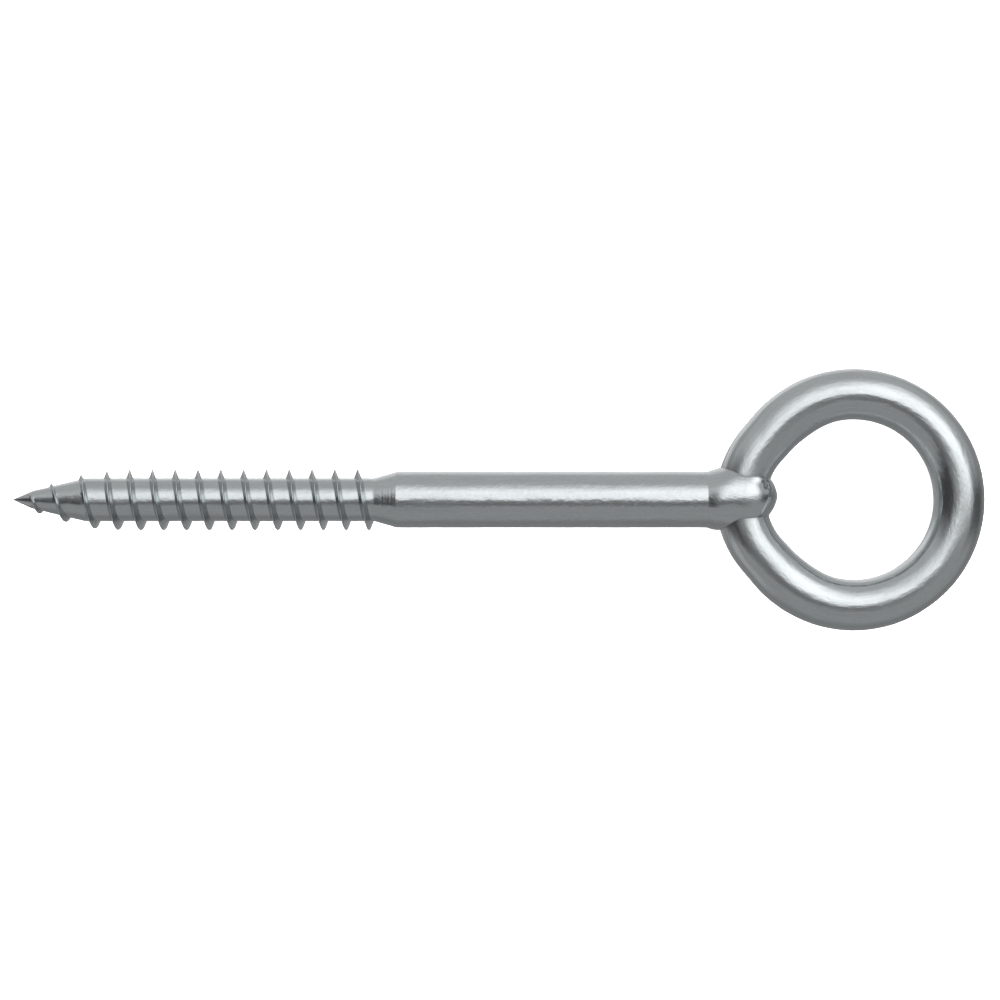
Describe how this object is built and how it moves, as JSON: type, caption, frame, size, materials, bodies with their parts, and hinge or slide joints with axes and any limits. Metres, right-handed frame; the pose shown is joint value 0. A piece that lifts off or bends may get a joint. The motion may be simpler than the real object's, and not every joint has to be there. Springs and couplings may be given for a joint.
{
  "type": "eye screw",
  "caption": "Long wood-thread anchor screw with a plain shank and a domed forged head closed round a fixed steel ring.",
  "frame": {"origin": "on the screw's axis, where the plain shank meets the forged head, which is where the wall's face comes when the screw is driven home", "axes": "+X along the screw's axis from its point to the ring, +Z normal to the plane of the ring, +Y across the ring; the object lies flat"},
  "size_m": [0.1945, 0.0524, 0.013],
  "materials": {
    "screw_zinc": "bright zinc plate on forged and rolled steel",
    "ring_zinc": "bright zinc plate on bent round bar"
  },
  "bodies": {
    "root": {"screw": "screw_zinc", "eye_ring": "ring_zinc"}
  },
  "joints": []
}
